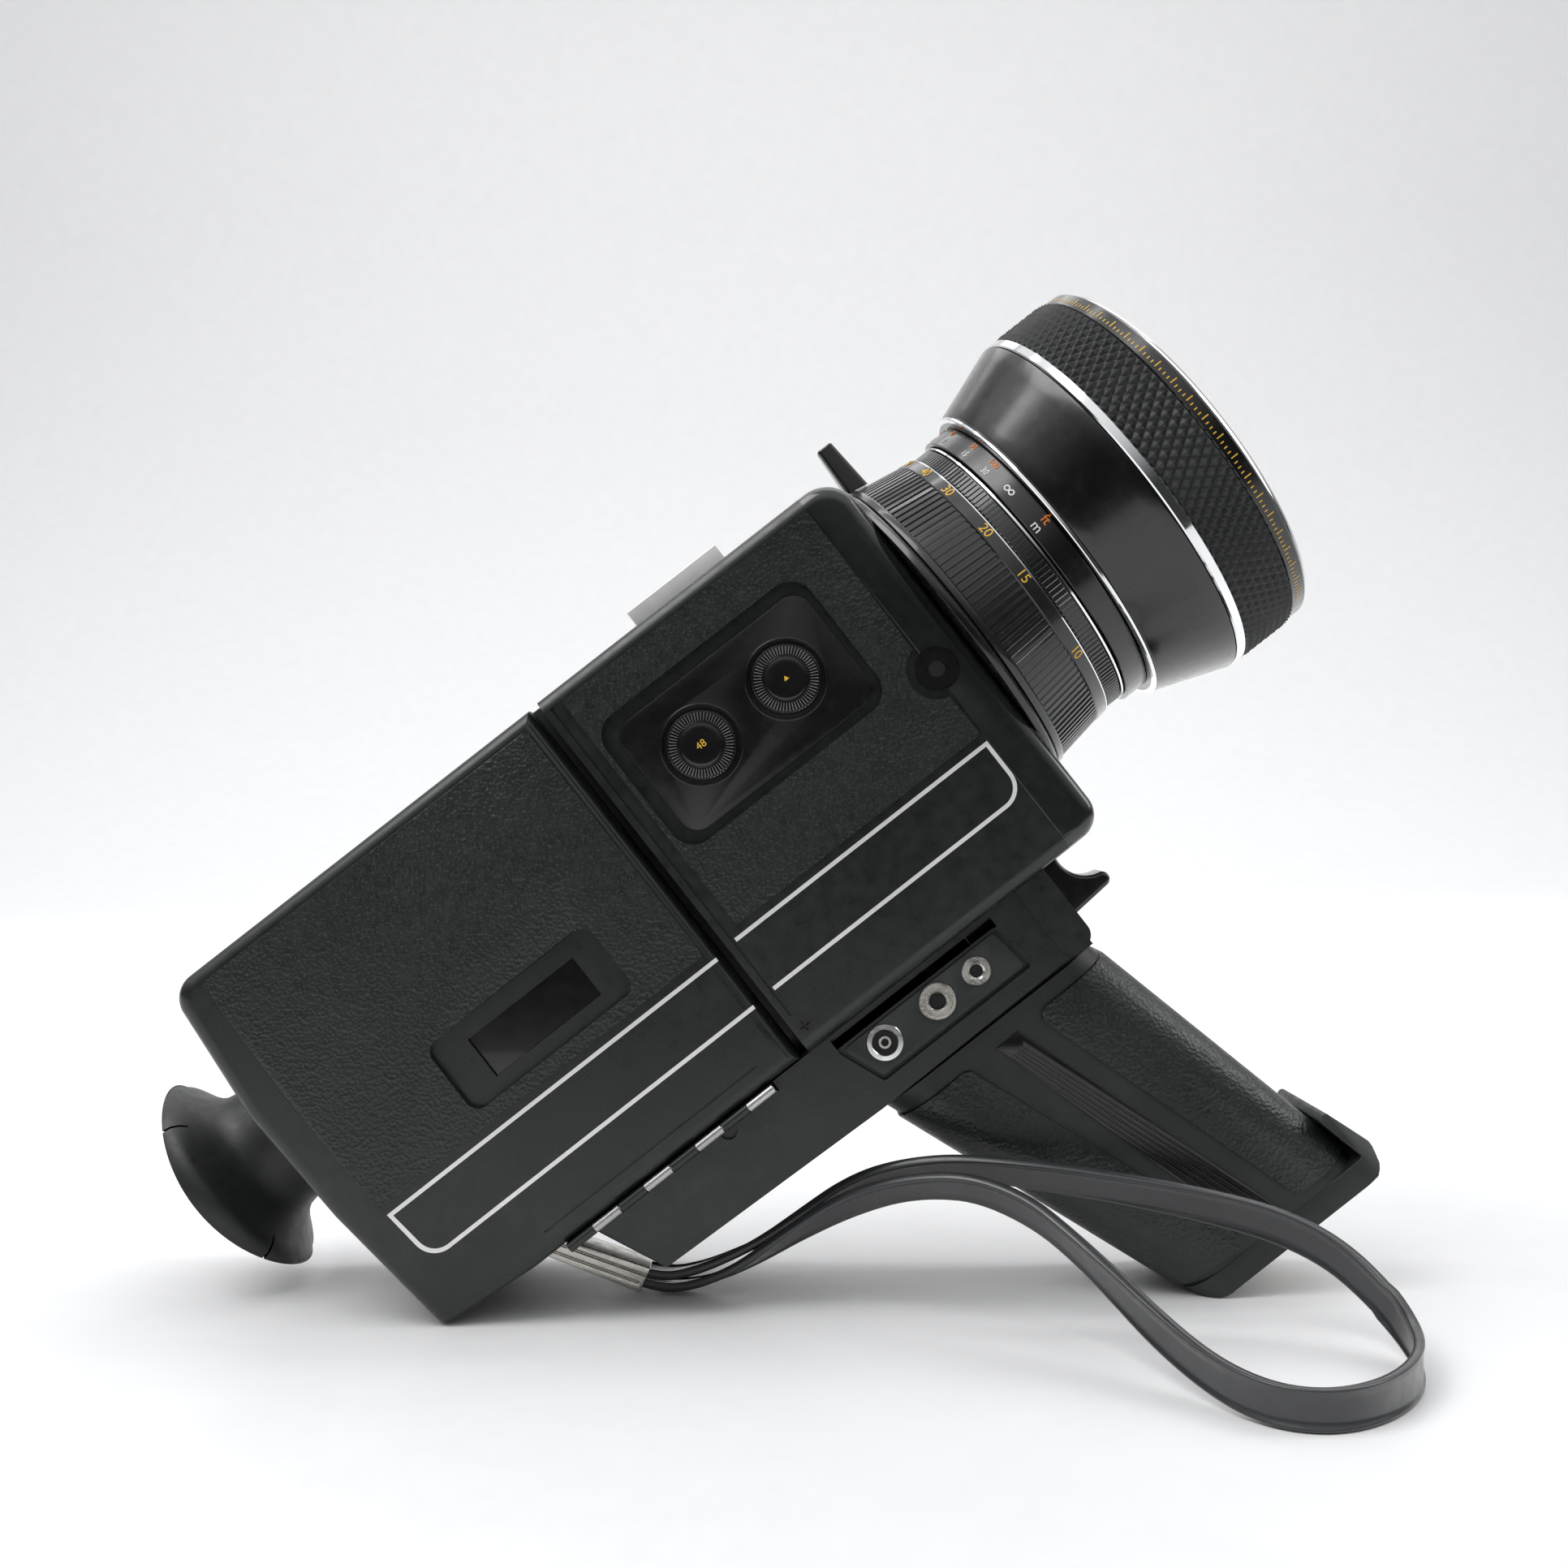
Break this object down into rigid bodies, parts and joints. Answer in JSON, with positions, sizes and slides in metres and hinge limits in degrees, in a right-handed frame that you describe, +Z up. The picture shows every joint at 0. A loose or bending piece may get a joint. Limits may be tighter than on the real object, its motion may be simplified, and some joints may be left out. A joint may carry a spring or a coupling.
{
  "type": "super 8 cine camera",
  "caption": "Vintage Super 8 reflex zoom cine camera with a pistol grip, hinged film door, control dials, chrome-ringed zoom lens, rubber eyecup and flat wrist strap, resting nose up.",
  "frame": {"origin": "on the table under the middle of the camera's length and width, measured without the strap; the camera rests on its rear bottom corner and the heel of its grip", "axes": "+Z up; +X towards the lens side, the lens axis rising 37.16 degrees above +X; the film door faces -Y and the closed side +Y"},
  "size_m": [0.2754, 0.1527, 0.2245],
  "materials": {
    "black_body": "satin black, moulded",
    "black_metal": "black lacquer over aluminium",
    "leatherette": "grained black leatherette",
    "gloss_black": "polished black",
    "matte_black": "matte black",
    "rubber_black": "moulded rubber",
    "bright_inlay": "bright inlay",
    "chrome": "polished chrome",
    "nickel": "dull nickel",
    "steel": "ground steel",
    "brass": "turned brass",
    "lens_glass": "coated optical glass",
    "window_plastic": "smoked clear plastic",
    "strap_vinyl": "black vinyl strap",
    "battery_case": "plain printed jacket",
    "board_green": "green laminate"
  },
  "bodies": {
    "camera": {"rear_housing": "black_body", "hinge_body_leaf": "chrome", "film_gate": "steel", "front_housing": "black_body", "front_leather": "leatherette", "front_stripe": "bright_inlay", "closed_side_leather": "leatherette", "front_bezel": "gloss_black", "dial_plate": "gloss_black", "cable_release_socket": "nickel", "accessory_shoe": "chrome", "body_screws": "steel", "base_housing": "black_body", "jack_panel": "matte_black", "power_socket": "nickel", "earphone_jack": "nickel", "remote_jack": "nickel", "strap_bracket": "nickel", "strap": "strap_vinyl", "trigger_spring": "steel", "grip_shell_right": "matte_black", "grip_shell_left": "matte_black", "grip_leather": "leatherette", "grip_ribbed_strips": "gloss_black", "grip_base": "matte_black", "tripod_bush": "brass", "batteries": "battery_case", "lens_mount_ring": "gloss_black", "lens_tube": "black_metal", "relay_lens_group": "lens_glass", "prism_block": "lens_glass", "finder_tube": "matte_black", "eyepiece_lens": "lens_glass", "eyecup": "rubber_black", "mechanism_plate": "steel", "motor": "steel", "drive_belt": "rubber_black", "circuit_board": "board_green"},
    "door": {"film_door": "black_body", "door_leather": "leatherette", "door_window": "window_plastic", "door_stripe": "bright_inlay", "hinge_door_leaf": "chrome"},
    "latch": {"door_latch": "matte_black"},
    "speed_control": {"speed_dial": "gloss_black"},
    "mode_control": {"mode_dial": "gloss_black"},
    "zoom": {"zoom_ring": "black_metal", "zoom_lever": "black_metal"},
    "zoom_lens_group": {"variator_lens": "lens_glass"},
    "focus": {"scale_ring": "black_metal", "focus_cone": "gloss_black", "focus_chrome_rings": "chrome", "focus_grip": "rubber_black", "name_ring": "gloss_black", "front_element": "lens_glass"},
    "trigger_button": {"trigger": "gloss_black"},
    "shutter_shaft": {"shutter": "steel"},
    "motor_rotor": {"motor_pulley": "brass"},
    "film_takeup": {"takeup_spindle": "matte_black"},
    "claw": {"film_claw": "steel"}
  },
  "joints": [
    {"name": "door_hinge", "type": "hinge", "parent": "camera", "child": "door", "pos_m": [-0.01816, -0.0291, 0.03309], "axis": [0.7969, 0, 0.6041], "range_deg": [0, 95]},
    {"name": "latch_slide", "type": "slide", "parent": "camera", "child": "latch", "axis": [0, 1, 0], "range_m": [0, 0.0035], "stiffness_N_per_m": 150, "springref_m": -0.002},
    {"name": "speed_dial_turn", "type": "hinge", "parent": "camera", "child": "speed_control", "pos_m": [-0.01056, -0.028, 0.12323], "axis": [0, 1, 0], "range_deg": [-90, 45]},
    {"name": "mode_dial_turn", "type": "hinge", "parent": "camera", "child": "mode_control", "pos_m": [0.00768, -0.028, 0.13707], "axis": [0, 1, 0], "range_deg": [-60, 60]},
    {"name": "zoom_turn", "type": "hinge", "parent": "camera", "child": "zoom", "pos_m": [0.05206, 0, 0.15401], "axis": [0.7969, 0, 0.6041], "range_deg": [-65, 70]},
    {"name": "variator_slide", "type": "slide", "parent": "camera", "child": "zoom_lens_group", "axis": [0.7969, 0, 0.6041], "range_m": [-0.0081, 0.0087]},
    {"name": "focus_turn", "type": "hinge", "parent": "camera", "child": "focus", "pos_m": [0.08394, 0, 0.17818], "axis": [0.7969, 0, 0.6041], "range_deg": [0, 160]},
    {"name": "trigger_slide", "type": "slide", "parent": "camera", "child": "trigger_button", "axis": [-0.7969, 0, -0.6041], "range_m": [0, 0.004], "stiffness_N_per_m": 400, "springref_m": -0.002, "deforming": ["trigger_spring"]},
    {"name": "shutter_spin", "type": "hinge", "parent": "camera", "child": "shutter_shaft", "pos_m": [-0.00143, -0.005, 0.09214], "axis": [0.7969, 0, 0.6041], "continuous": true},
    {"name": "motor_spin", "type": "hinge", "parent": "camera", "child": "motor_rotor", "pos_m": [0.0244, 0.009, 0.08787], "axis": [0.7969, 0, 0.6041], "continuous": true},
    {"name": "takeup_spin", "type": "hinge", "parent": "camera", "child": "film_takeup", "pos_m": [-0.04985, 0.008, 0.0567], "axis": [0, 1, 0], "continuous": true},
    {"name": "claw_slide", "type": "slide", "parent": "camera", "child": "claw", "axis": [-0.6041, 0, 0.7969], "range_m": [-0.0021, 0.0021], "stiffness_N_per_m": 60}
  ],
  "couplings": [
    {"joint": "variator_slide", "follows": "zoom_turn", "m_per_rad": 0.007},
    {"joint": "motor_spin", "follows": "shutter_spin", "ratio": 2},
    {"joint": "takeup_spin", "follows": "shutter_spin", "ratio": 0.03}
  ]
}
